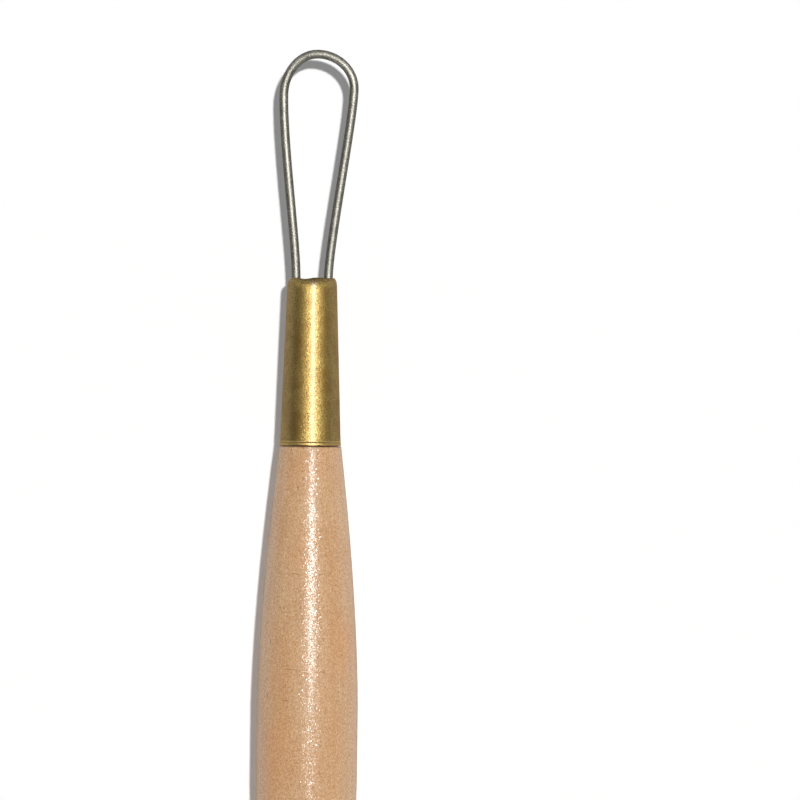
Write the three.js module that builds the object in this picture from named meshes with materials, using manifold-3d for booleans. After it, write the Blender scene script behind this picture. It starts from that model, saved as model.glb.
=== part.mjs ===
// A double-ended wire loop tool for trimming and hollowing clay.
// Millimetres. The tool lies along Y, with the pear loop at +Y and the flared loop at -Y.
// Both loops lie flat, level with the axis, and the belly of the handle rests on Z = 0.

import * as THREE from 'three';
import { mergeVertices } from 'three/addons/utils/BufferGeometryUtils.js';
import Module from 'manifold-3d';

// Handle: turned wood, thickest in the middle
const HANDLE_LENGTH = 86.86;
const BELLY_RADIUS = 7.44;
const BELLY_FLAT_LENGTH = 10;
const SHOULDER_RADIUS = 4.55;
const BARREL_POWER = 1.6;

// Wire: one bent wire at each end, with its two legs held inside the ferrule
const WIRE_RADIUS = 0.65;
const FOOT_OFFSET = 2.38;
const LEG_DEPTH = 16;

// Ferrules: thin tapered brass tubes, closed in round the wire at the mouth and beaded at the base
const FERRULE_LENGTH = 24.7;
const FERRULE_WALL = 0.35;
const FERRULE_INTURN = 0.55;
const LIP_DEPTH = 1.4;
const LIP_EDGE = 0.06;
const MOUTH_BORE_LENGTH = 0.55;
const BASE_STEP = 0.07;
const BEAD_LENGTH = 0.45;
const BEAD_ROUND = 0.12;
const BEAD_HEIGHT = 0.03;
const GROOVE_LENGTH = 0.3;
const GROOVE_DEPTH = 0.08;

// Hidden fits: a sawn tenon fills each ferrule and takes the legs of the wire in its kerf
const SEAM = 0.06;
const TENON_SETBACK = 1.7;
const TENON_CHAMFER = 0.3;
const TENON_CLEARANCE = 0.1;
const KERF_RUNOUT = 1;
const WIRE_CLEARANCE = 0.1;
const CEMENT_RECESS = 0.55;
const CEMENT_CLEARANCE = 0.08;

// Pear loop, seen with its end up: the widest point of each side and how full the curve is there
const PEAR_PROJECTION = 33.63;
const PEAR_CROWN_OFFSET = 0.4;
const PEAR_FOOT_PULL = 5;
const PEAR_LEFT_REACH = 4.5;
const PEAR_LEFT_HEIGHT = 26.85;
const PEAR_LEFT_PULL = 7.4;
const PEAR_RIGHT_REACH = 5.85;
const PEAR_RIGHT_HEIGHT = 27.9;
const PEAR_RIGHT_PULL = 4.2;

// Flared loop, seen with its end up: the sharp corners, how far each leg leans, and the bends
const FLARED_PROJECTION = 33.23;
const FLARED_BAR_RISE = 0.26;
const FLARED_FOOT_PULL = 3;
const FLARED_TOP_PULL = 9;
const FLARED_LEFT_REACH = 8.09;
const FLARED_LEFT_LEAN = 10.6;
const FLARED_LEFT_BEND = 1.3;
const FLARED_RIGHT_REACH = 6.62;
const FLARED_RIGHT_LEAN = 9.7;
const FLARED_RIGHT_BEND = 2.3;

// How finely round shapes are faceted
const TURNED_SIDES = 48;
const WIRE_SIDES = 12;
const BARREL_RINGS = 8;
const LIP_RINGS = 4;
const RING_TURN = THREE.MathUtils.degToRad(12);
const RING_SPACING = 5;
const TURN_SAMPLES = 32;

// Share of a quarter ellipse's half axis at which a cubic curve has its handle
const QUARTER_HANDLE = 0.5523;

const wasm = await Module();
wasm.setup();

const wood = new THREE.MeshStandardMaterial({ color: 0xd6ac82, roughness: 0.45, metalness: 0 });
const brass = new THREE.MeshStandardMaterial({ color: 0xb8963f, roughness: 0.35, metalness: 1 });
const brightSteel = new THREE.MeshStandardMaterial({ color: 0xa9a48f, roughness: 0.25, metalness: 1 });
const dullSteel = new THREE.MeshStandardMaterial({ color: 0xa39a86, roughness: 0.5, metalness: 1 });
const cement = new THREE.MeshStandardMaterial({ color: 0x8a7350, roughness: 0.6, metalness: 0 });

// Sizes that one piece takes from another
const mouthRadius = FOOT_OFFSET + WIRE_RADIUS + WIRE_CLEARANCE;
const tipRadius = mouthRadius + FERRULE_INTURN;
const baseRadius = SHOULDER_RADIUS - BASE_STEP;
const mouthY = HANDLE_LENGTH / 2 + SEAM + FERRULE_LENGTH;
const tenonEndY = mouthY - TENON_SETBACK;
const kerfDepth = LEG_DEPTH + KERF_RUNOUT - TENON_SETBACK;
const kerfHalfWidth = WIRE_RADIUS + WIRE_CLEARANCE;

// Facets touch the true circle at their middles, so a flat facet lies exactly at the radius.
const outside = (radius, sides) => radius / Math.cos(Math.PI / sides);

// A profile of [radius, height] points turned round Y, with one facet facing straight down
function turned(profile) {
  const points = profile.map(([radius, y]) => new THREE.Vector2(outside(radius, TURNED_SIDES), y));
  return new THREE.LatheGeometry(points, TURNED_SIDES, Math.PI / TURNED_SIDES);
}

// The geometry as a solid to cut and join, with shared corners merged and collapsed faces dropped
function solid(geometry) {
  const bare = geometry.clone();
  bare.deleteAttribute('normal');
  bare.deleteAttribute('uv');
  const merged = mergeVertices(bare);
  const corners = merged.index.array;
  const triVerts = [];
  for (let i = 0; i < corners.length; i += 3) {
    const [a, b, c] = corners.slice(i, i + 3);
    if (a !== b && b !== c && c !== a) triVerts.push(a, b, c);
  }
  const mesh = new wasm.Mesh({
    numProp: 3,
    vertProperties: merged.attributes.position.array,
    triVerts: new Uint32Array(triVerts),
  });
  return new wasm.Manifold(mesh);
}

function geometryOf(manifold) {
  const { vertProperties, triVerts } = manifold.getMesh();
  const geometry = new THREE.BufferGeometry();
  geometry.setAttribute('position', new THREE.BufferAttribute(vertProperties, 3));
  geometry.setIndex(new THREE.BufferAttribute(triVerts, 1));
  const faceted = geometry.toNonIndexed();
  faceted.computeVertexNormals();
  return faceted;
}

function piece(name, geometry, material) {
  const mesh = new THREE.Mesh(geometry, material);
  mesh.name = name;
  return mesh;
}

// The ferrule's outer radius on its straight taper, at a distance below the mouth
function taperRadius(below) {
  const along = (below - LIP_DEPTH) / (FERRULE_LENGTH - LIP_DEPTH);
  return THREE.MathUtils.lerp(tipRadius, baseRadius, along);
}

// The tenon follows the bore of the ferrule at its clearance.
function tenonRadius(below) {
  return taperRadius(below) - FERRULE_WALL - TENON_CLEARANCE;
}

// Half of the barrel, from its straight band in the middle down one long curve to the shoulder
function barrelHalf() {
  const run = (HANDLE_LENGTH - BELLY_FLAT_LENGTH) / 2;
  const points = [];
  for (let i = 0; i <= BARREL_RINGS; i += 1) {
    const share = i / BARREL_RINGS;
    const radius = THREE.MathUtils.lerp(BELLY_RADIUS, SHOULDER_RADIUS, share ** BARREL_POWER);
    points.push([radius, BELLY_FLAT_LENGTH / 2 + run * share]);
  }
  return points;
}

// The handle in one piece with its two tenons, each sawn down its middle in the plane of the loop
function handleGeometry() {
  const half = [
    ...barrelHalf(),
    [tenonRadius(FERRULE_LENGTH), HANDLE_LENGTH / 2],
    [tenonRadius(TENON_SETBACK + TENON_CHAMFER), tenonEndY - TENON_CHAMFER],
    [tenonRadius(TENON_SETBACK) - TENON_CHAMFER, tenonEndY],
    [0, tenonEndY],
  ];
  const otherHalf = half.map(([radius, y]) => [radius, -y]).reverse();
  const kerf = new THREE.BoxGeometry(2 * baseRadius, 2 * kerfDepth, 2 * kerfHalfWidth);
  let body = solid(turned([...otherHalf, ...half]));
  for (const endY of [-tenonEndY, tenonEndY]) {
    body = body.subtract(solid(kerf.clone().translate(0, endY, 0)));
  }
  return geometryOf(body);
}

// A ferrule with its mouth at Y = 0: outside up from the base, round the lip, down the bore
function ferruleGeometry() {
  const base = -FERRULE_LENGTH;
  const beadTop = base + BEAD_LENGTH;
  const grooveTop = beadTop + GROOVE_LENGTH;
  const outer = [
    [baseRadius - GROOVE_DEPTH, base],
    [baseRadius + BEAD_HEIGHT, base + BEAD_ROUND],
    [baseRadius + BEAD_HEIGHT, beadTop - BEAD_ROUND],
    [baseRadius - GROOVE_DEPTH, beadTop],
    [baseRadius - GROOVE_DEPTH, grooveTop - GROOVE_DEPTH],
    [taperRadius(-grooveTop), grooveTop],
  ];
  const lip = [];
  for (let i = 0; i <= LIP_RINGS; i += 1) {
    const angle = ((Math.PI / 2) * i) / LIP_RINGS;
    const inturn = (FERRULE_INTURN - LIP_EDGE) * (1 - Math.cos(angle));
    lip.push([tipRadius - inturn, -LIP_DEPTH * (1 - Math.sin(angle))]);
  }
  const bore = [
    [mouthRadius, 0],
    [mouthRadius, -MOUTH_BORE_LENGTH],
    [tipRadius - FERRULE_WALL, -LIP_DEPTH],
    [baseRadius - FERRULE_WALL, base],
  ];
  const profile = [...outer, ...lip, ...bore];
  return turned([...profile, profile[0]]);
}

// Cured cement with the mouth at Y = 0: a plug on the tenon's end and a web between the two legs
function cementGeometry() {
  const plugBase = CEMENT_CLEARANCE - TENON_SETBACK;
  const plugTop = -CEMENT_RECESS;
  const plugMiddle = (plugBase + plugTop) / 2;
  const plugRadius = mouthRadius - CEMENT_CLEARANCE;
  const plug = turned([[0, plugBase], [plugRadius, plugBase], [plugRadius, plugTop], [0, plugTop]]);

  const webWidth = 2 * (FOOT_OFFSET - WIRE_RADIUS - WIRE_CLEARANCE);
  const webLength = LEG_DEPTH + plugMiddle;
  const webThickness = 2 * (kerfHalfWidth - CEMENT_CLEARANCE);
  const web = new THREE.BoxGeometry(webWidth, webLength, webThickness);
  web.translate(0, plugMiddle - webLength / 2, 0);

  const holeRadius = outside(WIRE_RADIUS + WIRE_CLEARANCE, WIRE_SIDES);
  const hole = new THREE.CylinderGeometry(holeRadius, holeRadius, 2 * TENON_SETBACK, WIRE_SIDES);
  let body = solid(plug).add(solid(web));
  for (const x of [-FOOT_OFFSET, FOOT_OFFSET]) {
    body = body.subtract(solid(hole.clone().translate(x, 0, 0).translate(0, -TENON_SETBACK, 0)));
  }
  return geometryOf(body);
}

// The total angle that a curve turns through
function turnOf(curve) {
  let turn = 0;
  for (let i = 0; i < TURN_SAMPLES; i += 1) {
    const before = curve.getTangent(i / TURN_SAMPLES);
    const after = curve.getTangent((i + 1) / TURN_SAMPLES);
    turn += Math.acos(THREE.MathUtils.clamp(before.dot(after), -1, 1));
  }
  return turn;
}

// A wire's centreline as a row of stations, close together only where the wire bends
class Centreline extends THREE.Curve {
  constructor(runs) {
    super();
    this.stations = [];
    runs.forEach((run, order) => {
      const steps = Math.ceil(Math.max(turnOf(run) / RING_TURN, run.getLength() / RING_SPACING));
      for (let i = order === 0 ? 0 : 1; i <= steps; i += 1) {
        this.stations.push({ point: run.getPoint(i / steps), tangent: run.getTangent(i / steps) });
      }
    });
  }

  get steps() {
    return this.stations.length - 1;
  }

  getPointAt(u, target = new THREE.Vector3()) {
    const { point } = this.stations[Math.round(u * this.steps)];
    return target.set(point.x, point.y, 0);
  }

  getTangentAt(u, target = new THREE.Vector3()) {
    const { tangent } = this.stations[Math.round(u * this.steps)];
    return target.set(tangent.x, tangent.y, 0);
  }
}

// A round wire swept along its centreline, with a flat facet towards each side
function wireGeometry(runs) {
  const centreline = new Centreline(runs);
  const halfFacet = Math.PI / WIRE_SIDES;
  const corners = [];
  for (let i = 0; i < WIRE_SIDES; i += 1) {
    const angle = halfFacet * (2 * i + 1);
    const corner = new THREE.Vector2(outside(WIRE_RADIUS, WIRE_SIDES), 0);
    corners.push(corner.rotateAround(new THREE.Vector2(), angle));
  }
  const section = new THREE.Shape(corners);
  return new THREE.ExtrudeGeometry(section, { steps: centreline.steps, extrudePath: centreline });
}

// The straight leg that runs down inside the ferrule, on the side that the sign says
function hiddenLeg(side) {
  const x = side * FOOT_OFFSET;
  return new THREE.LineCurve(new THREE.Vector2(x, -LEG_DEPTH), new THREE.Vector2(x, 0));
}

function reversed(curve) {
  const { v0, v1, v2, v3 } = curve;
  return v3 ? new THREE.CubicBezierCurve(v3, v2, v1, v0) : new THREE.LineCurve(v2, v1);
}

// Pear loop with the mouth at Y = 0: each side runs up to its widest point and round to the crown
function pearRuns() {
  const crown = new THREE.Vector2(PEAR_CROWN_OFFSET, PEAR_PROJECTION - WIRE_RADIUS);
  const half = (side, reach, height, pull) => {
    const foot = new THREE.Vector2(side * FOOT_OFFSET, 0);
    const widest = new THREE.Vector2(side * reach, height);
    const leg = new THREE.CubicBezierCurve(
      foot,
      new THREE.Vector2(foot.x, PEAR_FOOT_PULL),
      new THREE.Vector2(widest.x, widest.y - pull),
      widest,
    );
    const crownSide = new THREE.CubicBezierCurve(
      widest,
      new THREE.Vector2(widest.x, THREE.MathUtils.lerp(widest.y, crown.y, QUARTER_HANDLE)),
      new THREE.Vector2(THREE.MathUtils.lerp(crown.x, widest.x, QUARTER_HANDLE), crown.y),
      crown,
    );
    return [hiddenLeg(side), leg, crownSide];
  };
  const left = half(-1, PEAR_LEFT_REACH, PEAR_LEFT_HEIGHT, PEAR_LEFT_PULL);
  const right = half(1, PEAR_RIGHT_REACH, PEAR_RIGHT_HEIGHT, PEAR_RIGHT_PULL);
  return [...left, ...right.reverse().map(reversed)];
}

// Flared loop with the mouth at Y = 0: each leg leans out to a rounded corner of the cutting bar
function flaredRuns() {
  const highCorner = new THREE.Vector2(FLARED_RIGHT_REACH, FLARED_PROJECTION - WIRE_RADIUS);
  const lowCorner = new THREE.Vector2(-FLARED_LEFT_REACH, highCorner.y - FLARED_BAR_RISE);
  const bar = highCorner.clone().sub(lowCorner).normalize();
  const half = (side, corner, lean, bend) => {
    const leanAngle = THREE.MathUtils.degToRad(lean);
    const up = new THREE.Vector2(side * Math.sin(leanAngle), Math.cos(leanAngle));
    const along = bar.clone().multiplyScalar(-side);
    const turn = Math.acos(up.dot(along));
    const setback = bend * Math.tan(turn / 2);
    const legTop = corner.clone().addScaledVector(up, -setback);
    const barStart = corner.clone().addScaledVector(along, setback);
    const inward = new THREE.Vector2(-side * up.y, side * up.x);
    const centre = legTop.clone().addScaledVector(inward, bend);
    const foot = new THREE.Vector2(side * FOOT_OFFSET, 0);
    const leg = new THREE.CubicBezierCurve(
      foot,
      new THREE.Vector2(foot.x, FLARED_FOOT_PULL),
      legTop.clone().addScaledVector(up, -FLARED_TOP_PULL),
      legTop,
    );
    const legAngle = legTop.clone().sub(centre).angle();
    const barAngle = barStart.clone().sub(centre).angle();
    return { leg, centre, bend, legAngle, barAngle, barStart };
  };
  const left = half(-1, lowCorner, FLARED_LEFT_LEAN, FLARED_LEFT_BEND);
  const right = half(1, highCorner, FLARED_RIGHT_LEAN, FLARED_RIGHT_BEND);
  const corner = ({ centre, bend }, from, to) =>
    new THREE.EllipseCurve(centre.x, centre.y, bend, bend, from, to, true);
  return [
    hiddenLeg(-1),
    left.leg,
    corner(left, left.legAngle, left.barAngle),
    new THREE.LineCurve(left.barStart, right.barStart),
    corner(right, right.barAngle, right.legAngle),
    reversed(right.leg),
    reversed(hiddenLeg(1)),
  ];
}

// One end of the tool in its own frame, with the mouth of the ferrule at the origin and the loop up
function toolEnd(name, runs, steel) {
  const end = new THREE.Group();
  end.add(piece(`${name}_ferrule`, ferruleGeometry(), brass));
  end.add(piece(`${name}_loop`, wireGeometry(runs), steel));
  end.add(piece(`${name}_cement`, cementGeometry(), cement));
  return end;
}

const pearEnd = toolEnd('pear', pearRuns(), brightSteel);
pearEnd.position.y = mouthY;

const flaredEnd = toolEnd('flared', flaredRuns(), dullSteel);
flaredEnd.position.y = -mouthY;
flaredEnd.rotation.z = Math.PI;

const tool = new THREE.Group();
tool.add(piece('handle', handleGeometry(), wood));
tool.add(pearEnd, flaredEnd);
tool.position.z = BELLY_RADIUS;

export default tool;
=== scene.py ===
"""A double-ended wire loop tool for trimming clay, dressed for its picture.

Metres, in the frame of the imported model. The tool lies along Y with its belly on the floor at Z = 0,
the pear loop at +Y and the flared loop at -Y. Both loops lie flat, level with the tool's axis.
"""

import math

import bpy
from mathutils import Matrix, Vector
from mathutils.geometry import interpolate_bezier
from mathutils.kdtree import KDTree


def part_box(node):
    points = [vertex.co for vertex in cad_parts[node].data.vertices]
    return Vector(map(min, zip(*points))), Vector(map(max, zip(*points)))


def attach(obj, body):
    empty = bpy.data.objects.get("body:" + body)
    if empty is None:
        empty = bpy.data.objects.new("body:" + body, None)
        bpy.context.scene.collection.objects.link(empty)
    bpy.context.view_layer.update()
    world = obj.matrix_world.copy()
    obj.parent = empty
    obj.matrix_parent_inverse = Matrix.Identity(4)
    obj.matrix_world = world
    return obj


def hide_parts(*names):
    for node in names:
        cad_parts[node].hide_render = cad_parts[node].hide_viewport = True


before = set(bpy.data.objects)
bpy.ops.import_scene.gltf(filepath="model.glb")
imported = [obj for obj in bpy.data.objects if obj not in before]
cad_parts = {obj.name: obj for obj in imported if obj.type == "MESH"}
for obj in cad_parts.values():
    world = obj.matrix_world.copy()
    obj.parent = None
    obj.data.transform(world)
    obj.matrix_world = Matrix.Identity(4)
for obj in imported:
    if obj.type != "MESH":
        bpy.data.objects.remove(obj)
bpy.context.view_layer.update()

MM = 0.001

# Sizes that the frame gives
handle_low, handle_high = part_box("handle")
ferrule_low, ferrule_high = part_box("pear_ferrule")
wire_low, wire_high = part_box("pear_loop")
cement_low, cement_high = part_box("pear_cement")

AXIS_Z = (handle_low.z + handle_high.z) / 2
BELLY_RADIUS = (handle_high.z - handle_low.z) / 2
BEAD_RADIUS = (ferrule_high.z - ferrule_low.z) / 2
MOUTH_Y = ferrule_high.y
BASE_Y = ferrule_low.y
TENON_END_Y = handle_high.y
WIRE_RADIUS = (wire_high.z - wire_low.z) / 2
LEG_END_Y = wire_low.y
CEMENT_TOP_Y = cement_high.y

# Handle: turned wood, with a straight band at its belly and one long curve to each shoulder
SEAM = 0.06 * MM
BELLY_FLAT_LENGTH = 10 * MM
SHOULDER_RADIUS = 4.55 * MM
BARREL_POWER = 1.6
SHOULDER_ROUND = 0.1 * MM
SHOULDER_Y = BASE_Y - SEAM

# Ferrule: the taper, the lip that closes in at the mouth, and the bead at the base
FERRULE_WALL = 0.35 * MM
BEAD_HEIGHT = 0.03 * MM
BEAD_LENGTH = 0.45 * MM
BEAD_ROUNDNESS = 0.35  # 1 is a plain half circle, and less is squarer
GROOVE_LENGTH = 0.12 * MM
GROOVE_DEPTH = 0.04 * MM
RIDGE_LENGTH = 0.12 * MM
RIDGE_HEIGHT = 0.02 * MM
BASE_RADIUS = BEAD_RADIUS - BEAD_HEIGHT
RIDGE_Y = BASE_Y + BEAD_LENGTH + GROOVE_LENGTH + RIDGE_LENGTH / 2
LIP_DEPTH = 1.4 * MM
LIP_EDGE = 0.06 * MM
MOUTH_BORE_LENGTH = 0.55 * MM
FERRULE_INTURN = 0.55 * MM

# Where the closing tool pressed the lips in: the angle round the mouth in degrees, depth and width in mm
PEAR_LIP_PRESSES = [(109, 0.2, 1.7), (251, 0.2, 1.7), (40, 0.04, 1.2), (180, 0.32, 1.5)]
FLARED_LIP_PRESSES = [(75, 0.08, 1.4), (200, 0.12, 1.8), (310, 0.08, 1.5)]

# Hidden fits, as in the solids
FOOT_OFFSET = 2.38 * MM
WIRE_CLEARANCE = 0.1 * MM
MOUTH_RADIUS = FOOT_OFFSET + WIRE_RADIUS + WIRE_CLEARANCE
TIP_RADIUS = MOUTH_RADIUS + FERRULE_INTURN
TENON_CLEARANCE = 0.1 * MM
TENON_CHAMFER = 0.3 * MM
KERF_RUNOUT = 1 * MM
CEMENT_CLEARANCE = 0.08 * MM
CEMENT_MENISCUS = 0.12 * MM
MENISCUS_POWER = 3  # how flat the middle of the hollow is
CEMENT_GRIP = 0.01 * MM

# Pear loop, from the mouth up: the widest point of each side, and how full the curve is there
PEAR_TOP = wire_high.y - WIRE_RADIUS - MOUTH_Y
PEAR_CROWN_OFFSET = 0.4 * MM
PEAR_FOOT_PULL = 5 * MM
PEAR_SIDES = {
    -1: {"reach": 4.5 * MM, "height": 26.85 * MM, "pull": 7.4 * MM},
    1: {"reach": 5.85 * MM, "height": 27.9 * MM, "pull": 4.2 * MM},
}

# Flared loop, from the mouth up: the sharp corners, how far each leg leans, and the bends
FLARED_TOP = -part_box("flared_loop")[0].y - WIRE_RADIUS - MOUTH_Y
FLARED_BAR_RISE = 0.26 * MM
FLARED_FOOT_PULL = 3 * MM
FLARED_TOP_PULL = 9 * MM
FLARED_SIDES = {
    -1: {"reach": 8.09 * MM, "lean": math.radians(10.6), "bend": 1.3 * MM},
    1: {"reach": 6.62 * MM, "lean": math.radians(9.7), "bend": 2.3 * MM},
}

# How finely the shapes are made
TURNED_SIDES = 160
BARREL_STEPS = 36
SHOULDER_STEPS = 4
TAPER_STEPS = 12
LIP_STEPS = 10
BEAD_STEPS = 8
RIDGE_STEPS = 4
CEMENT_SIDES = 96
MENISCUS_STEPS = 8
LEG_HOLE_SIDES = 48
WIRE_BEVEL_STEPS = 14
WIRE_CURVE_STEPS = 48
TURNED_MERGE = 0.0005 * MM
WIRE_MERGE = 0.001 * MM
SHARP_FROM = math.radians(35)

# Share of a quarter circle's radius at which a cubic curve has its handle
QUARTER_HANDLE = 0.5523


def pick_nothing():
    """Deselect everything, so that an operator acts only on what is added next."""
    if bpy.context.mode != "OBJECT":
        bpy.ops.object.mode_set(mode="OBJECT")
    bpy.ops.object.select_all(action="DESELECT")


def pick(piece):
    """Select this piece alone, and make it the active one."""
    pick_nothing()
    piece.select_set(True)
    bpy.context.view_layer.objects.active = piece


def settle(piece):
    """Put the place, turn and size of a piece into its mesh, so that its object sits at the origin."""
    pick(piece)
    bpy.ops.object.transform_apply(location=True, rotation=True, scale=True)


def turned(name, profile, closed=False, sides=TURNED_SIDES):
    """A profile of (radius, y) points turned round the tool's axis, one ring after another."""
    pick_nothing()
    radius, y = profile[0]
    bpy.ops.mesh.primitive_circle_add(
        vertices=sides,
        radius=radius,
        fill_type="NOTHING" if closed else "NGON",
        location=(0, y, AXIS_Z),
        rotation=(math.pi / 2, 0, 0),
    )
    piece = bpy.context.object
    piece.name = piece.data.name = name
    settle(piece)
    bpy.ops.object.mode_set(mode="EDIT")
    bpy.ops.mesh.select_all(action="SELECT")
    for next_radius, next_y in profile[1:]:
        bpy.ops.mesh.extrude_region_move(TRANSFORM_OT_translate={"value": (0, next_y - y, 0)})
        grow = next_radius / radius
        bpy.ops.transform.resize(value=(grow, 1, grow), center_override=(0, next_y, AXIS_Z))
        radius, y = next_radius, next_y
    bpy.ops.mesh.select_all(action="SELECT")
    if closed:
        bpy.ops.mesh.remove_doubles(threshold=TURNED_MERGE)
    bpy.ops.mesh.normals_make_consistent(inside=False)
    bpy.ops.object.mode_set(mode="OBJECT")
    return piece


def block(name, low, high):
    """A plain block between two corners, to cut or join with."""
    pick_nothing()
    middle = (Vector(low) + Vector(high)) / 2
    bpy.ops.mesh.primitive_cube_add(size=1, location=middle)
    piece = bpy.context.object
    piece.name = name
    piece.scale = Vector(high) - Vector(low)
    settle(piece)
    return piece


def rod(name, x, low_y, high_y, radius):
    """A straight round rod along Y, level with the axis, to cut with."""
    pick_nothing()
    bpy.ops.mesh.primitive_cylinder_add(
        vertices=LEG_HOLE_SIDES,
        radius=radius,
        depth=high_y - low_y,
        location=(x, (low_y + high_y) / 2, AXIS_Z),
        rotation=(math.pi / 2, 0, 0),
    )
    piece = bpy.context.object
    piece.name = name
    settle(piece)
    return piece


def combine(piece, other, operation):
    """Cut the other piece away from this one, or join it on, and drop the other piece."""
    pick(piece)
    modifier = piece.modifiers.new(operation.lower(), "BOOLEAN")
    modifier.operation = operation
    modifier.solver = "EXACT"
    modifier.object = other
    bpy.ops.object.modifier_apply(modifier=modifier.name)
    bpy.data.objects.remove(other)


def smooth(piece):
    """Shade a piece smooth, apart from its sharp edges."""
    pick(piece)
    bpy.ops.object.shade_smooth_by_angle(angle=SHARP_FROM)


def half_turn(piece):
    """Turn a piece that was made for the pear end round to the flared end."""
    pick(piece)
    bpy.ops.object.mode_set(mode="EDIT")
    bpy.ops.mesh.select_all(action="SELECT")
    bpy.ops.transform.rotate(value=math.pi, orient_axis="Z", center_override=(0, 0, AXIS_Z))
    bpy.ops.object.mode_set(mode="OBJECT")


def copy_of(piece, name):
    """A second piece with a mesh of its own."""
    twin = piece.copy()
    twin.data = piece.data.copy()
    twin.name = twin.data.name = name
    bpy.context.scene.collection.objects.link(twin)
    return twin


def taper_radius(y):
    """The ferrule's outer radius on its straight taper."""
    along = (MOUTH_Y - LIP_DEPTH - y) / (MOUTH_Y - LIP_DEPTH - BASE_Y)
    return TIP_RADIUS + (BASE_RADIUS - TIP_RADIUS) * along


def tenon_radius(y):
    """The tenon's radius, which leaves room for its fit in the ferrule."""
    return taper_radius(y) - FERRULE_WALL - TENON_CLEARANCE


def barrel_radius(y):
    """The handle's radius between its shoulders."""
    run = SHOULDER_Y - BELLY_FLAT_LENGTH / 2
    share = max(0, abs(y) - BELLY_FLAT_LENGTH / 2) / run
    return BELLY_RADIUS - (BELLY_RADIUS - SHOULDER_RADIUS) * share**BARREL_POWER


def quarter(steps, first=0):
    """Angles from 0 to a quarter turn, in equal steps."""
    return [math.pi / 2 * i / steps for i in range(first, steps + 1)]


def turned_handle():
    """The barrel with its two tenons, each sawn down its middle in the plane of the loop."""
    half = [(barrel_radius(0), 0)]
    curve_start = BELLY_FLAT_LENGTH / 2
    curve_end = SHOULDER_Y - SHOULDER_ROUND
    for i in range(BARREL_STEPS + 1):
        y = curve_start + (curve_end - curve_start) * i / BARREL_STEPS
        half.append((barrel_radius(y), y))
    edge_radius = barrel_radius(curve_end)
    for angle in quarter(SHOULDER_STEPS, first=1):
        radius = edge_radius - SHOULDER_ROUND * (1 - math.cos(angle))
        half.append((radius, curve_end + SHOULDER_ROUND * math.sin(angle)))
    chamfer_y = TENON_END_Y - TENON_CHAMFER
    half += [
        (tenon_radius(BASE_Y), SHOULDER_Y),
        (tenon_radius(chamfer_y), chamfer_y),
        (tenon_radius(TENON_END_Y) - TENON_CHAMFER, TENON_END_Y),
    ]
    other_half = [(radius, -y) for radius, y in reversed(half[1:])]
    handle = turned("turned_handle", other_half + half)
    kerf_half_width = WIRE_RADIUS + WIRE_CLEARANCE
    kerf_bottom = LEG_END_Y - KERF_RUNOUT
    for side in (-1, 1):
        near, far = sorted((side * kerf_bottom, side * (TENON_END_Y + KERF_RUNOUT)))
        saw = block(
            "saw",
            (-BASE_RADIUS, near, AXIS_Z - kerf_half_width),
            (BASE_RADIUS, far, AXIS_Z + kerf_half_width),
        )
        combine(handle, saw, "DIFFERENCE")
    return handle


def ferrule_profile():
    """The ferrule's wall as a closed outline: up the outside, round the lip and down the bore."""
    bead_middle = BASE_Y + BEAD_LENGTH / 2
    groove_floor = BASE_RADIUS - GROOVE_DEPTH
    bead_rise = BEAD_RADIUS - groove_floor
    outline = []
    for i in range(2 * BEAD_STEPS + 1):
        angle = math.pi * i / (2 * BEAD_STEPS)
        bulge = math.sin(angle) ** BEAD_ROUNDNESS
        outline.append((groove_floor + bead_rise * bulge, bead_middle - BEAD_LENGTH / 2 * math.cos(angle)))
    outline.append((groove_floor, RIDGE_Y - RIDGE_LENGTH))
    for i in range(RIDGE_STEPS + 1):
        angle = math.pi * i / RIDGE_STEPS
        y = RIDGE_Y - RIDGE_LENGTH / 2 * math.cos(angle)
        outline.append((taper_radius(y) + RIDGE_HEIGHT * math.sin(angle), y))
    plain_start = RIDGE_Y + RIDGE_LENGTH
    lip_start = MOUTH_Y - LIP_DEPTH
    for i in range(TAPER_STEPS):
        y = plain_start + (lip_start - plain_start) * i / TAPER_STEPS
        outline.append((taper_radius(y), y))
    for angle in quarter(LIP_STEPS):
        inturn = (FERRULE_INTURN - LIP_EDGE) * (1 - math.cos(angle))
        outline.append((TIP_RADIUS - inturn, MOUTH_Y - LIP_DEPTH * (1 - math.sin(angle))))
    outline += [
        (MOUTH_RADIUS + LIP_EDGE / 3, MOUTH_Y - LIP_EDGE / 4),
        (MOUTH_RADIUS, MOUTH_Y - LIP_EDGE),
        (MOUTH_RADIUS, MOUTH_Y - MOUTH_BORE_LENGTH),
        (TIP_RADIUS - FERRULE_WALL, MOUTH_Y - LIP_DEPTH),
        (BASE_RADIUS - FERRULE_WALL, BASE_Y),
    ]
    return outline + outline[:1]


def press_in(piece, angle, depth, size):
    """Press the ferrule's lip down softly at one place round the mouth, as the closing tool left it."""
    pick(piece)
    bpy.ops.object.mode_set(mode="EDIT")
    bpy.ops.mesh.select_all(action="DESELECT")
    bpy.ops.object.mode_set(mode="OBJECT")
    spot = Vector((math.cos(angle) * MOUTH_RADIUS, MOUTH_Y, AXIS_Z + math.sin(angle) * MOUTH_RADIUS))
    nearest = min(piece.data.vertices, key=lambda vertex: (vertex.co - spot).length)
    nearest.select = True
    bpy.ops.object.mode_set(mode="EDIT")
    bpy.ops.transform.translate(
        value=(0, -depth, 0),
        use_proportional_edit=True,
        proportional_edit_falloff="SMOOTH",
        proportional_size=size,
    )
    bpy.ops.object.mode_set(mode="OBJECT")


def brass_ferrule(name, presses):
    """A thin tapered tube, beaded at its base and pressed in a little unevenly round its mouth."""
    ferrule = turned(name, ferrule_profile(), closed=True)
    for angle, depth, size in presses:
        press_in(ferrule, math.radians(angle), depth * MM, size * MM)
    return ferrule


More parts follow.
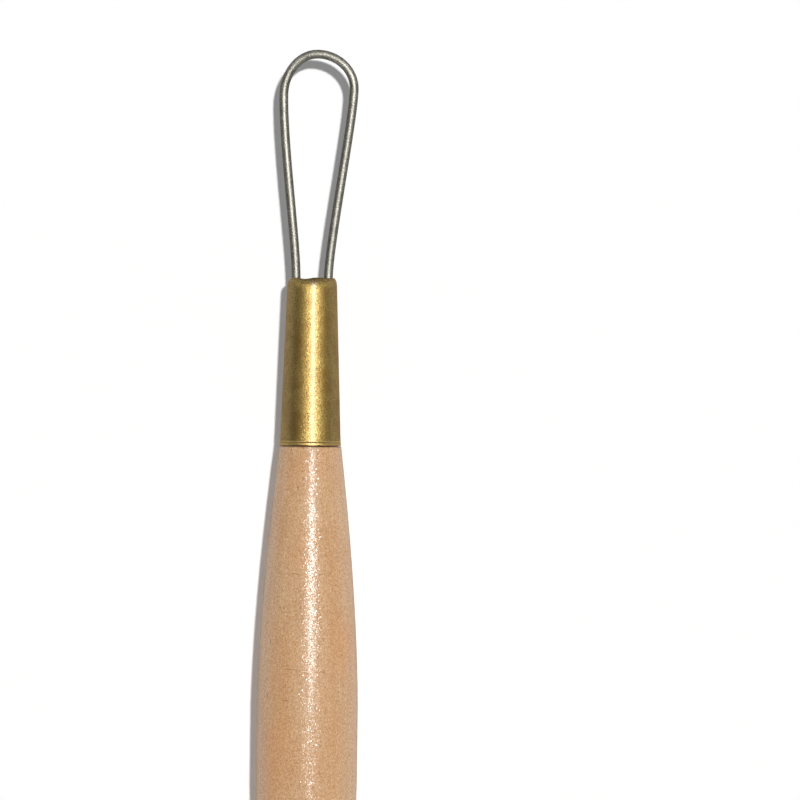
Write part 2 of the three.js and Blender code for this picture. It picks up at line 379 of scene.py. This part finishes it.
def cured_cement(name):
    """A plug on the tenon's end with a hollow top, and a web between the wire's two legs."""
    plug_bottom = TENON_END_Y + CEMENT_CLEARANCE
    plug_radius = MOUTH_RADIUS - CEMENT_CLEARANCE
    profile = [(plug_radius, plug_bottom), (plug_radius, CEMENT_TOP_Y)]
    for i in range(1, MENISCUS_STEPS):
        share = 1 - i / MENISCUS_STEPS
        hollow = CEMENT_MENISCUS * (1 - share**MENISCUS_POWER)
        profile.append((plug_radius * share, CEMENT_TOP_Y - hollow))
    cement = turned(name, profile, sides=CEMENT_SIDES)
    plug_middle = (plug_bottom + CEMENT_TOP_Y) / 2
    web_half_width = FOOT_OFFSET - WIRE_RADIUS - WIRE_CLEARANCE
    web_half_height = WIRE_RADIUS + WIRE_CLEARANCE - CEMENT_CLEARANCE
    web = block(
        "web",
        (-web_half_width, cement_low.y, AXIS_Z - web_half_height),
        (web_half_width, plug_middle, AXIS_Z + web_half_height),
    )
    combine(cement, web, "UNION")
    for side in (-1, 1):
        hole = rod("hole", side * FOOT_OFFSET, LEG_END_Y, MOUTH_Y, WIRE_RADIUS + CEMENT_GRIP)
        combine(cement, hole, "DIFFERENCE")
    return cement


class Bend:
    """One point that a wire's centreline passes through, with its two handles."""

    def __init__(self, at, before=None, after=None):
        self.at = Vector(at)
        self.before = Vector(before) if before is not None else self.at
        self.after = Vector(after) if after is not None else self.at


def straight(bends):
    """Where two neighbours have no handle towards each other, keep the wire between them straight."""
    for one, other in zip(bends, bends[1:]):
        if one.after == one.at and other.before == other.at:
            one.after = one.at.lerp(other.at, 1 / 3)
            other.before = one.at.lerp(other.at, 2 / 3)
    return bends


def mirrored(bend):
    """The same bend, met from the other side."""
    return Bend(bend.at, bend.after, bend.before)


def bent_wire(name, bends, end):
    """A round wire along its bends, each (x, distance past the mouth) in the frame of its own end."""
    pick_nothing()
    bpy.ops.curve.primitive_bezier_curve_add()
    wire = bpy.context.object
    wire.name = wire.data.name = name
    spline = wire.data.splines[0]
    spline.bezier_points.add(len(bends) - 2)

    def place(point):
        return (end * point.x, end * (MOUTH_Y + point.y), AXIS_Z)

    for knot, bend in zip(spline.bezier_points, bends):
        knot.handle_left_type = knot.handle_right_type = "FREE"
        knot.co = place(bend.at)
        knot.handle_left = place(bend.before)
        knot.handle_right = place(bend.after)
    centreline = []
    for one, other in zip(bends, bends[1:]):
        corners = [Vector(place(point)) for point in (one.at, one.after, other.before, other.at)]
        centreline += interpolate_bezier(*corners, WIRE_CURVE_STEPS)[:-1]
    wire.data.dimensions = "3D"
    wire.data.resolution_u = WIRE_CURVE_STEPS
    wire.data.bevel_depth = WIRE_RADIUS
    wire.data.bevel_resolution = WIRE_BEVEL_STEPS
    wire.data.use_fill_caps = True
    bpy.ops.object.convert(target="MESH")
    wire = bpy.context.object
    bpy.ops.object.mode_set(mode="EDIT")
    bpy.ops.mesh.select_all(action="SELECT")
    bpy.ops.mesh.remove_doubles(threshold=WIRE_MERGE)
    bpy.ops.mesh.normals_make_consistent(inside=False)
    bpy.ops.object.mode_set(mode="OBJECT")
    settle(wire)
    mark_drawing_direction(wire, centreline)
    return wire


def mark_drawing_direction(wire, centreline):
    """Note on each vertex which way the wire runs there, for the fine marks that drawing it left."""
    tree = KDTree(len(centreline) - 1)
    for i, (point, after) in enumerate(zip(centreline, centreline[1:])):
        tree.insert((point + after) / 2, i)
    tree.balance()
    along = wire.data.attributes.new("along", "FLOAT_VECTOR", "POINT")
    for vertex, mark in zip(wire.data.vertices, along.data):
        _, i, _ = tree.find(vertex.co)
        mark.vector = (centreline[i + 1] - centreline[i]).normalized()


def hidden_foot(side):
    """The end of a straight leg, deep in the kerf."""
    return Bend((side * FOOT_OFFSET, LEG_END_Y - MOUTH_Y))


def pear_bends():
    """Up one side to its widest point, round the crown and down the other side."""
    crown = Vector((PEAR_CROWN_OFFSET, PEAR_TOP))
    sides = {}
    for side, size in PEAR_SIDES.items():
        foot = Vector((side * FOOT_OFFSET, 0))
        widest = Vector((side * size["reach"], size["height"]))
        full = Vector((widest.x, widest.y + (crown.y - widest.y) * QUARTER_HANDLE))
        sides[side] = [
            hidden_foot(side),
            Bend(foot, after=foot + Vector((0, PEAR_FOOT_PULL))),
            Bend(widest, before=widest - Vector((0, size["pull"])), after=full),
        ]

    def over_crown(side):
        reach = side * PEAR_SIDES[side]["reach"]
        return (crown.x + (reach - crown.x) * QUARTER_HANDLE, crown.y)

    top = Bend(crown, before=over_crown(-1), after=over_crown(1))
    return straight(sides[-1] + [top] + [mirrored(bend) for bend in reversed(sides[1])])


def flared_bends():
    """Up one leaning leg, round its corner, along the cutting bar, round the other corner and down."""
    high = Vector((FLARED_SIDES[1]["reach"], FLARED_TOP))
    low = Vector((-FLARED_SIDES[-1]["reach"], FLARED_TOP - FLARED_BAR_RISE))
    bar = (high - low).normalized()
    sides = {}
    for side, corner in ((-1, low), (1, high)):
        size = FLARED_SIDES[side]
        up = Vector((side * math.sin(size["lean"]), math.cos(size["lean"])))
        along = -side * bar
        turn = up.angle(along)
        setback = size["bend"] * math.tan(turn / 2)
        pull = 4 / 3 * math.tan(turn / 4) * size["bend"]
        foot = Vector((side * FOOT_OFFSET, 0))
        leg_top = corner - up * setback
        bar_start = corner + along * setback
        sides[side] = [
            hidden_foot(side),
            Bend(foot, after=foot + Vector((0, FLARED_FOOT_PULL))),
            Bend(leg_top, before=leg_top - up * FLARED_TOP_PULL, after=leg_top + up * pull),
            Bend(bar_start, before=bar_start - along * pull),
        ]
    return straight(sides[-1] + [mirrored(bend) for bend in reversed(sides[1])])


class Tree:
    """A node tree, with short ways to add and join its nodes."""

    def __init__(self, tree):
        self.tree = tree

    def add(self, kind):
        return self.tree.nodes.new(kind)

    def join(self, source, target):
        self.tree.links.new(source, target)

    def put(self, source, target):
        """Join a socket to a node's input, or write a plain value in it."""
        if isinstance(source, bpy.types.NodeSocket):
            self.join(source, target)
        else:
            target.default_value = source

    def scalar(self, operation, *sources):
        """Arithmetic on numbers, each a socket or a number."""
        node = self.add("ShaderNodeMath")
        node.operation = operation
        for socket, source in zip(node.inputs, sources):
            self.put(source, socket)
        return node.outputs["Value"]

    def vector(self, operation, *sources):
        """Arithmetic on vectors, each a socket or three numbers."""
        node = self.add("ShaderNodeVectorMath")
        node.operation = operation
        for socket, source in zip(node.inputs, sources):
            self.put(source, socket)
        return node.outputs["Vector"]

    def part(self, vector, axis):
        """One of a vector's three numbers."""
        node = self.add("ShaderNodeSeparateXYZ")
        self.join(vector, node.inputs["Vector"])
        return node.outputs[axis]

    def ramp(self, value, stops):
        """Stops are (position, colour) or (position, number)."""
        node = self.add("ShaderNodeValToRGB")
        marks = node.color_ramp.elements
        while len(marks) < len(stops):
            marks.new(0.5)
        for mark, (position, colour) in zip(marks, stops):
            mark.position = position
            shade = (colour,) * 3 if isinstance(colour, (int, float)) else colour
            mark.color = (*shade, 1)
        self.join(value, node.inputs["Fac"])
        return node.outputs["Color"]


class Finish(Tree):
    """A piece's material: one shader, with patterns on Object coordinates."""

    def __init__(self, name):
        self.material = bpy.data.materials.new(name)
        self.material.use_nodes = True
        super().__init__(self.material.node_tree)
        self.shader = self.tree.nodes["Principled BSDF"]
        self.shader.distribution = "GGX"
        self.place = self.add("ShaderNodeTexCoord").outputs["Object"]

    def reach(self):
        """How far a point lies along the tool, from its middle towards either end."""
        return self.scalar("ABSOLUTE", self.part(self.place, "Y"))

    def stretched(self, scale):
        """Object coordinates scaled along each axis, so that a pattern draws out along the low ones."""
        node = self.add("ShaderNodeMapping")
        node.inputs["Scale"].default_value = scale
        self.join(self.place, node.inputs["Vector"])
        return node.outputs["Vector"]

    def noise(self, per_metre, where=None, detail=3, roughness=0.55):
        """A cloudy pattern with this many patches to the metre."""
        node = self.add("ShaderNodeTexNoise")
        node.inputs["Scale"].default_value = per_metre
        node.inputs["Detail"].default_value = detail
        node.inputs["Roughness"].default_value = roughness
        self.join(where or self.place, node.inputs["Vector"])
        return node.outputs["Fac"]

    def spot(self, middle, half_size, turn):
        """A soft mark on the tool's upper side: 1 in its middle and 0 at its edge.

        Its half sizes along X and Y are in mm, and its turn is in degrees.
        """
        place = self.add("ShaderNodeMapping")
        place.vector_type = "TEXTURE"
        place.inputs["Location"].default_value = middle
        place.inputs["Rotation"].default_value = (0, 0, math.radians(turn))
        place.inputs["Scale"].default_value = (half_size[0] * MM, half_size[1] * MM, MARK_DEPTH)
        self.join(self.place, place.inputs["Vector"])
        fade = self.add("ShaderNodeTexGradient")
        fade.gradient_type = "SPHERICAL"
        self.join(place.outputs["Vector"], fade.inputs["Vector"])
        return fade.outputs["Fac"]

    def span(self, value, low, high, from_low=0.0, from_high=1.0):
        """Map a value in the from span to the same share of the low to high span."""
        node = self.add("ShaderNodeMapRange")
        node.inputs["From Min"].default_value = from_low
        node.inputs["From Max"].default_value = from_high
        node.inputs["To Min"].default_value = low
        node.inputs["To Max"].default_value = high
        self.join(value, node.inputs["Value"])
        return node.outputs["Result"]

    def mix(self, amount, first, second, blend="MIX"):
        """Blend two colours, each a socket or a colour, by an amount."""
        node = self.add("ShaderNodeMix")
        node.data_type = "RGBA"
        node.blend_type = blend
        sockets = {socket.identifier: socket for socket in node.inputs}
        self.put(amount, sockets["Factor_Float"])
        for colour, identifier in ((first, "A_Color"), (second, "B_Color")):
            self.put((*colour, 1) if isinstance(colour, tuple) else colour, sockets[identifier])
        return next(socket for socket in node.outputs if socket.identifier == "Result_Color")

    def bump(self, height, depth, onto=None):
        """Surface relief of a real depth in metres, laid over another relief."""
        node = self.add("ShaderNodeBump")
        node.inputs["Strength"].default_value = 1
        node.inputs["Distance"].default_value = depth
        self.join(height, node.inputs["Height"])
        if onto is not None:
            self.join(onto, node.inputs["Normal"])
        return node.outputs["Normal"]

    def facets(self, per_metre, where, most_tilt):
        """The surface normal, tilted at random from one tiny patch to the next, so that a highlight sparkles.

        Most patches tilt by much less than the most, because the offset is cubed. Its cube is at most an
        eighth, so it is multiplied by eight.
        """
        cells = self.add("ShaderNodeTexVoronoi")
        cells.inputs["Scale"].default_value = per_metre
        self.join(where, cells.inputs["Vector"])
        upright = self.add("ShaderNodeNewGeometry").outputs["Normal"]
        offset = self.vector("SUBTRACT", cells.outputs["Color"], (0.5, 0.5, 0.5))
        cubed = self.vector("MULTIPLY", self.vector("MULTIPLY", offset, offset), offset)
        tilted = self.vector("MULTIPLY_ADD", cubed, (8 * most_tilt,) * 3, upright)
        return self.vector("NORMALIZE", tilted)

    def set(self, **values):
        """Set or join the shader's sockets, named in lower case with underscores."""
        sockets = {socket.name.lower().replace(" ", "_"): socket for socket in self.shader.inputs}
        for name, value in values.items():
            self.put(value, sockets[name])
        return self.material


# Wood: its grain and its warmer places
WOOD_STREAKS = [(0.3, (0.63, 0.382, 0.205)), (0.5, (0.688, 0.43, 0.238)), (0.7, (0.72, 0.466, 0.267))]
WOOD_FLECKS = [(0.3, (0.76, 0.6, 0.44)), (0.5, (1.0, 1.0, 1.0)), (0.7, (1.22, 1.4, 1.6))]
WOOD_FLECK_STRENGTH = 0.8
WOOD_PORES = [(0.34, (0.86, 0.8, 0.74)), (0.5, (1.0, 1.0, 1.0))]
WOOD_BLOTCH = (0.69, 0.39, 0.2)
WOOD_WARM = (0.74, 0.39, 0.178)
WOOD_MARK = (0.2, 0.095, 0.04)
WOOD_SPARKS_PER_METRE = 11500
WOOD_SPARK_TILT = 0.19

# Marks in the wood that the picture shows: the middle (x, y), the half sizes along X and Y, both in mm,
# and the turn in degrees
WOOD_WARM_PATCHES = [
    ((-4.6, -1.5), (3.6, 13), -3),
    ((4.9, 14.5), (2.2, 7), 4),
]
WOOD_HAIRLINES = [
    ((-1.67, 24.82), (1.05, 0.09), -10),
    ((1.85, 24.8), (0.85, 0.08), 6),
    ((-2.5, 10.9), (1.5, 0.08), -2),
    ((2.3, 10.6), (0.7, 0.08), -4),
    ((1.5, 12.4), (0.35, 0.09), 35),
    ((-3.0, 6.4), (0.7, 0.07), -5),
    ((-5.76, 6.9), (0.08, 0.7), 3),
    ((1.6, -24.2), (1.1, 0.08), 0),
    ((1.9, -23.5), (0.7, 0.07), 3),
    ((1.3, -18.9), (1.2, 0.08), 0),
]
WOOD_SPECKS = [
    ((-3.45, 19.9), (0.12, 0.36), -18),
    ((-5.4, 14.8), (0.11, 0.4), 0),
    ((5.1, 13.0), (0.13, 0.24), 20),
    ((3.2, 19.2), (0.15, 0.1), 0),
    ((-1.6, 37.4), (0.15, 0.24), 10),
]
HAIRLINE_STRENGTH = 0.9
SPECK_STRENGTH = 1.0
MARK_DEPTH = 3 * MM

# Painted shade in the seam between each ferrule and the wood, dark where the gap's shadow falls: it is full
# up to the first distance from the seam, and has gone at the second
SEAM_PAINTED_SHADE = (0.1, 0.032, 0.002)
SEAM_PAINTED_SHADE_STRENGTH = 0.8
SEAM_PAINTED_SHADE_ON_WOOD = (0.05 * MM, 0.22 * MM)
SEAM_PAINTED_SHADE_ON_BRASS = (0.02 * MM, 0.12 * MM)

# Brass: its grain, its tarnish, the wear and painted highlight on the raised line and the bead, and a nick at
# the base
BRASS_DARK = (0.12, 0.048, 0.005)
BRASS_LIGHT = (0.358, 0.281, 0.083)
BRASS_TINGE = (BRASS_LIGHT[0], 0.88 * BRASS_LIGHT[1], 0.92 * BRASS_LIGHT[2])
BRASS_TARNISH = (0.14, 0.058, 0.008)
BRASS_RUBBED_AND_HIGHLIGHT = (0.75, 0.5, 0.17)
BRASS_RIM_TINT = (0.45, 0.28, 0.08, 1)
BRASS_ROUGHNESS = (0.34, 0.48)
BRASS_SPARKS_PER_METRE = 9000
BRASS_SPARK_TILT = 0.08
LIP_EXTRA_ROUGHNESS = 0.28
LINE_WEAR_AND_HIGHLIGHT = 0.6
BEAD_WEAR_AND_HIGHLIGHT = 0.35
NICK = (0.03, 0.015, 0.005)
NICK_STRENGTH = 0.95
NICK_PLACE = (1.33 * MM, BASE_Y + 0.06 * MM, AXIS_Z + BEAD_RADIUS)
NICK_HALF_SIZE = (0.2, 0.14)
NICK_TURN = 20

# Steel: the darkest and the lightest grain and the roughness from low to high of each wire, and how dark
# the oxide is beside the darkest grain
BRIGHT_STEEL = ((0.1, 0.095, 0.08), (0.27, 0.262, 0.228), (0.34, 0.44))
DULL_STEEL = ((0.13, 0.118, 0.1), (0.295, 0.27, 0.23), (0.44, 0.56))
OXIDE_SHADE = 0.8

RESIN_LUMPS = [(0.3, (0.16, 0.1, 0.05)), (0.7, (0.33, 0.23, 0.12))]
RESIN_ROUGHNESS = 0.55


def on_handle(x, y):
    """The point of the handle's upper side at (x, y), given in mm."""
    x, y = x * MM, y * MM
    return (x, y, AXIS_Z + math.sqrt(barrel_radius(y) ** 2 - x**2))


def lacquered_wood():
    """Pale close-grained hardwood under a thin satin lacquer, with fine flecks along the grain."""
    wood = Finish("lacquered_wood")
    streaks = wood.noise(900, wood.stretched((1, 0.08, 1)), detail=5)
    flecks = wood.noise(6400, wood.stretched((1, 0.5, 1)), detail=2, roughness=0.6)
    pores = wood.noise(4000, detail=2, roughness=0.6)
    blotches = wood.noise(160, wood.stretched((1, 0.5, 1)), detail=2)
    colour = wood.ramp(streaks, WOOD_STREAKS)
    colour = wood.mix(wood.span(blotches, 0, 0.65, 0.4, 0.65), colour, WOOD_BLOTCH)
    for (x, y), half_size, turn in WOOD_WARM_PATCHES:
        patch = wood.spot(on_handle(x, y), half_size, turn)
        colour = wood.mix(wood.span(patch, 0, 0.5, 0, 0.7), colour, WOOD_WARM)
    colour = wood.mix(WOOD_FLECK_STRENGTH, colour, wood.ramp(flecks, WOOD_FLECKS), "MULTIPLY")
    colour = wood.mix(1.0, colour, wood.ramp(pores, WOOD_PORES), "MULTIPLY")
    for marks, strength in ((WOOD_HAIRLINES, HAIRLINE_STRENGTH), (WOOD_SPECKS, SPECK_STRENGTH)):
        for (x, y), half_size, turn in marks:
            spot = wood.spot(on_handle(x, y), half_size, turn)
            colour = wood.mix(wood.scalar("MULTIPLY", spot, strength), colour, WOOD_MARK)
    # Painted shade: the wood darkens towards its seam with the ferrule
    full, gone = SEAM_PAINTED_SHADE_ON_WOOD
    seam_shade = wood.span(wood.reach(), 0, SEAM_PAINTED_SHADE_STRENGTH, SHOULDER_Y - gone, SHOULDER_Y - full)
    colour = wood.mix(seam_shade, colour, SEAM_PAINTED_SHADE)
    facing = wood.add("ShaderNodeLayerWeight").outputs["Facing"]
    satin = wood.span(flecks, 0.2, 0.32, 0.3, 0.7)
    return wood.set(
        base_color=colour,
        roughness=wood.scalar("ADD", satin, wood.span(facing, 0, 0.45, 0.6, 0.95)),
        normal=wood.facets(WOOD_SPARKS_PER_METRE, wood.stretched((1, 0.6, 1)), WOOD_SPARK_TILT),
        specular_ior_level=0.42,
    )


def satin_brass():
    """Spun brass with a fine satin grain, rubbed bright and given a painted highlight on its raised line and
    bead, under clear lacquer.
    """
    brass = Finish("satin_brass")
    grit = brass.noise(6000, brass.stretched((1, 0.75, 1)), detail=2, roughness=0.7)
    drawn = brass.noise(1100, brass.stretched((1, 0.3, 1)), detail=4)
    tarnish = brass.noise(300, detail=3)
    tinge = brass.noise(7000, detail=1)
    colour = brass.ramp(tinge, [(0.4, BRASS_LIGHT), (0.6, BRASS_TINGE)])
    colour = brass.mix(brass.span(grit, 0.2, 1, 0.34, 0.62), BRASS_DARK, colour)
    colour = brass.mix(brass.span(tarnish, 0, 0.45, 0.42, 0.68), colour, BRASS_TARNISH)
    reach = brass.reach()
    from_line = brass.scalar("ABSOLUTE", brass.scalar("SUBTRACT", reach, RIDGE_Y))
    from_bead = brass.scalar("ABSOLUTE", brass.scalar("SUBTRACT", reach, BASE_Y + BEAD_LENGTH / 2))
    # Wear and painted highlight: the raised line and the bead are made brighter, for the light that their
    # edges catch
    worn_and_highlight = brass.scalar(
        "MAXIMUM",
        brass.span(from_line, LINE_WEAR_AND_HIGHLIGHT, 0, 0, RIDGE_LENGTH),
        brass.span(from_bead, BEAD_WEAR_AND_HIGHLIGHT, 0, BEAD_LENGTH / 4, BEAD_LENGTH / 2),
    )
    colour = brass.mix(worn_and_highlight, colour, BRASS_RUBBED_AND_HIGHLIGHT)
    nick = brass.spot(NICK_PLACE, NICK_HALF_SIZE, NICK_TURN)
    colour = brass.mix(brass.span(nick, 0, NICK_STRENGTH, 0, 0.5), colour, NICK)
    # Painted shade: the brass darkens towards its seam with the wood
    full, gone = SEAM_PAINTED_SHADE_ON_BRASS
    seam_shade = brass.span(reach, SEAM_PAINTED_SHADE_STRENGTH, 0, BASE_Y + full, BASE_Y + gone)
    colour = brass.mix(seam_shade, colour, SEAM_PAINTED_SHADE)
    sparkle = brass.facets(BRASS_SPARKS_PER_METRE, brass.stretched((1, 0.7, 1)), BRASS_SPARK_TILT)
    relief = brass.bump(grit, 0.03 * MM, brass.bump(drawn, 0.02 * MM, sparkle))
    turned_round = brass.add("ShaderNodeTangent")
    turned_round.direction_type = "RADIAL"
    turned_round.axis = "Y"
    low, high = BRASS_ROUGHNESS
    satin = brass.span(grit, high, low, 0.3, 0.7)
    lip_start, lip_end = MOUTH_Y - 1.2 * LIP_DEPTH, MOUTH_Y - 0.4 * LIP_DEPTH
    pressed = brass.span(reach, 0, LIP_EXTRA_ROUGHNESS, lip_start, lip_end)
    return brass.set(
        base_color=colour,
        metallic=1.0,
        specular_tint=BRASS_RIM_TINT,
        roughness=brass.scalar("ADD", satin, pressed),
        anisotropic=0.72,
        tangent=turned_round.outputs["Tangent"],
        normal=relief,
        coat_weight=0.26,
        coat_ior=2.0,
        coat_roughness=0.34,
    )


def drawn_steel(name, dark, light, roughness):
    """Drawn wire with fine marks along it and thin patches of dark oxide."""
    steel = Finish(name)
    marks = steel.noise(5200, detail=3, roughness=0.6)
    patches = steel.noise(900, detail=3)
    oxide = tuple(OXIDE_SHADE * channel for channel in dark)
    colour = steel.ramp(marks, [(0.32, dark), (0.68, light)])
    colour = steel.mix(steel.span(patches, 0, 0.5, 0.45, 0.75), colour, oxide)
    along = steel.add("ShaderNodeAttribute")
    along.attribute_name = "along"
    low, high = roughness
    return steel.set(
        base_color=colour,
        metallic=1.0,
        specular_tint=(0, 0, 0, 1),
        roughness=steel.span(marks, low, high, 0.3, 0.7),
        anisotropic=0.8,
        anisotropic_rotation=0.25,
        tangent=along.outputs["Vector"],
        normal=steel.bump(marks, 0.02 * MM),
    )


def cured_resin():
    """Brown adhesive, cured a little lumpy and dull."""
    resin = Finish("cured_resin")
    lumps = resin.noise(1600, detail=4)
    colour = resin.ramp(lumps, RESIN_LUMPS)
    return resin.set(base_color=colour, roughness=RESIN_ROUGHNESS, normal=resin.bump(lumps, 0.06 * MM))


def dress(piece, material, node):
    """Shade a finished piece smooth, give it its material, hang it under the root body and hide the solid
    that it stands for.
    """
    smooth(piece)
    piece.data.materials.clear()
    piece.data.materials.append(material)
    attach(piece, "root")
    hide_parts(node)


# Studio: the camera looks straight down on the pear end, as the photograph does
FRAME_PIXELS = 800
PIXELS_PER_METRE = 6.79 / MM
SENSOR_WIDTH = 36
LENS = 200
CLIP_START = 0.01
CLIP_END = 20
PICTURE_CENTRE_X = 13.13 * MM
PICTURE_CENTRE_Y = 50.38 * MM
TOOL_LEAN = 0.0117

# The main light: how far it leans towards +X and +Y for each unit up, and its strength and width
KEY_TILT_X = 0.15
KEY_TILT_Y = 0.13
KEY_STRENGTH = 2.8
KEY_ANGLE = math.radians(2.6)

FLOOR_SIZE = 8
FLOOR_COLOUR = 0.86
FLOOR_LIFT = 0.2

# The world's brightness from the horizon up, and that of the panels from the middle out along Y
SKY = [(0.0, 1.0), (0.05, 1.0), (0.09, 0.05), (1.0, 0.05)]
PANELS = [(0.5, 0.0), (0.6, 1.0), (0.74, 1.0), (0.84, 0.0)]


def add_camera():
    """A long lens straight above, which shows the tool at the photograph's scale and lean."""
    pick_nothing()
    distance = FRAME_PIXELS / PIXELS_PER_METRE * LENS / SENSOR_WIDTH
    bpy.ops.object.camera_add(
        location=(PICTURE_CENTRE_X, PICTURE_CENTRE_Y, AXIS_Z + distance), rotation=(0, 0, TOOL_LEAN)
    )
    camera = bpy.context.object
    camera.name = "camera"
    camera.data.lens = LENS
    camera.data.sensor_width = SENSOR_WIDTH
    camera.data.clip_start = CLIP_START
    camera.data.clip_end = CLIP_END
    bpy.context.scene.camera = camera


def add_key_light():
    """The main light, high over the pear end and a little to its right."""
    pick_nothing()
    bpy.ops.object.light_add(type="SUN", location=(0, 0, 1))
    key = bpy.context.object
    key.name = "key_light"
    towards = Vector((KEY_TILT_X, KEY_TILT_Y, 1))
    key.rotation_euler = towards.to_track_quat("Z", "Y").to_euler()
    key.data.energy = KEY_STRENGTH
    key.data.angle = KEY_ANGLE


def add_floor():
    """A pale floor that is white to the camera and in reflections, and keeps the tool's shadow."""
    pick_nothing()
    bpy.ops.mesh.primitive_plane_add(size=FLOOR_SIZE)
    floor = bpy.context.object
    floor.name = "floor"
    material = bpy.data.materials.new("pale_floor")
    material.use_nodes = True
    material.node_tree.nodes.clear()
    tree = Tree(material.node_tree)
    paper = tree.add("ShaderNodeBsdfDiffuse")
    paper.inputs["Color"].default_value = (FLOOR_COLOUR, FLOOR_COLOUR, FLOOR_COLOUR, 1)
    rays = tree.add("ShaderNodeLightPath").outputs
    seen = tree.scalar("MAXIMUM", rays["Is Camera Ray"], rays["Is Glossy Ray"])
    seen = tree.scalar("MAXIMUM", seen, rays["Is Transmission Ray"])
    lift = tree.add("ShaderNodeEmission")
    tree.join(tree.scalar("MULTIPLY", seen, FLOOR_LIFT), lift.inputs["Strength"])
    both = tree.add("ShaderNodeAddShader")
    tree.join(paper.outputs["BSDF"], both.inputs[0])
    tree.join(lift.outputs["Emission"], both.inputs[1])
    output = tree.add("ShaderNodeOutputMaterial")
    tree.join(both.outputs["Shader"], output.inputs["Surface"])
    floor.data.materials.append(material)


def add_world():
    """Faint soft light from all round, a white horizon, and a soft panel past each end of the tool.

    The panels only show in reflections, so that the metals look like metal from low angles too.
    """
    world = bpy.data.worlds.new("studio")
    bpy.context.scene.world = world
    world.use_nodes = True
    tree = Tree(world.node_tree)
    direction = tree.add("ShaderNodeTexCoord").outputs["Generated"]
    sky = tree.ramp(tree.part(direction, "Z"), SKY)
    panels = tree.ramp(tree.scalar("ABSOLUTE", tree.part(direction, "Y")), PANELS)
    reflected = tree.add("ShaderNodeLightPath").outputs["Is Glossy Ray"]
    level = tree.scalar("ADD", sky, tree.scalar("MULTIPLY", panels, reflected))
    background = world.node_tree.nodes["Background"]
    tree.join(level, background.inputs["Color"])
    background.inputs["Strength"].default_value = 1


add_camera()
add_key_light()
add_floor()
add_world()
bpy.context.scene.view_settings.view_transform = "Standard"

wood = lacquered_wood()
brass = satin_brass()
bright_steel = drawn_steel("bright_steel", *BRIGHT_STEEL)
dull_steel = drawn_steel("dull_steel", *DULL_STEEL)
resin = cured_resin()

dress(turned_handle(), wood, "handle")

pear_ferrule = brass_ferrule("pear_ferrule_tube", PEAR_LIP_PRESSES)
flared_ferrule = brass_ferrule("flared_ferrule_tube", FLARED_LIP_PRESSES)
half_turn(flared_ferrule)
dress(pear_ferrule, brass, "pear_ferrule")
dress(flared_ferrule, brass, "flared_ferrule")

dress(bent_wire("pear_wire_loop", pear_bends(), 1), bright_steel, "pear_loop")
dress(bent_wire("flared_wire_loop", flared_bends(), -1), dull_steel, "flared_loop")

pear_resin = cured_cement("pear_resin")
flared_resin = copy_of(pear_resin, "flared_resin")
half_turn(flared_resin)
dress(pear_resin, resin, "pear_cement")
dress(flared_resin, resin, "flared_cement")

pick_nothing()
